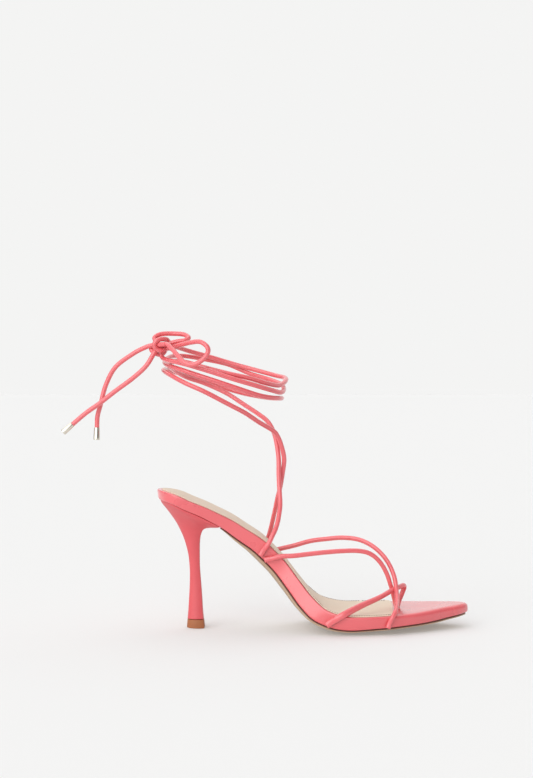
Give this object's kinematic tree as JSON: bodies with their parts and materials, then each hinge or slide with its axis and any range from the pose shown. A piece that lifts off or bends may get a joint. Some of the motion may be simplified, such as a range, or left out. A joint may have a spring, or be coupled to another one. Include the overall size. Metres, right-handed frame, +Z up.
{
  "type": "heeled sandal",
  "caption": "Pointed open sandal on a slim flared heel, with round cord straps over the toes and long ties wrapped about the ankle and tied in a bow behind.",
  "frame": {"origin": "on the floor, under the middle of the box of the sandal without its bow", "axes": "+X to the toe, +Y to the inner side of the right foot, +Z up"},
  "size_m": [0.2841, 0.0839, 0.2072],
  "materials": {
    "outsole": "smooth tan sole, matt",
    "upper_leather": "coral leather wrap, soft sheen",
    "sock_leather": "beige lining leather, matt",
    "heel_cover": "coral leather cover, soft sheen",
    "top_lift": "tan tread piece, matt",
    "cord_leather": "rolled coral leather cord, soft sheen",
    "tip_metal": "pale polished metal"
  },
  "bodies": {
    "root": {"outsole": "outsole", "footbed": "upper_leather", "sock": "sock_leather", "heel": "heel_cover", "top_lift": "top_lift", "vamp_straps": "cord_leather", "tie_lateral": "cord_leather", "tie_medial": "cord_leather", "knot": "cord_leather", "loop_upper": "cord_leather", "loop_front": "cord_leather", "end_upper": "cord_leather", "end_front": "cord_leather", "tip_upper": "tip_metal", "tip_front": "tip_metal"}
  },
  "joints": []
}
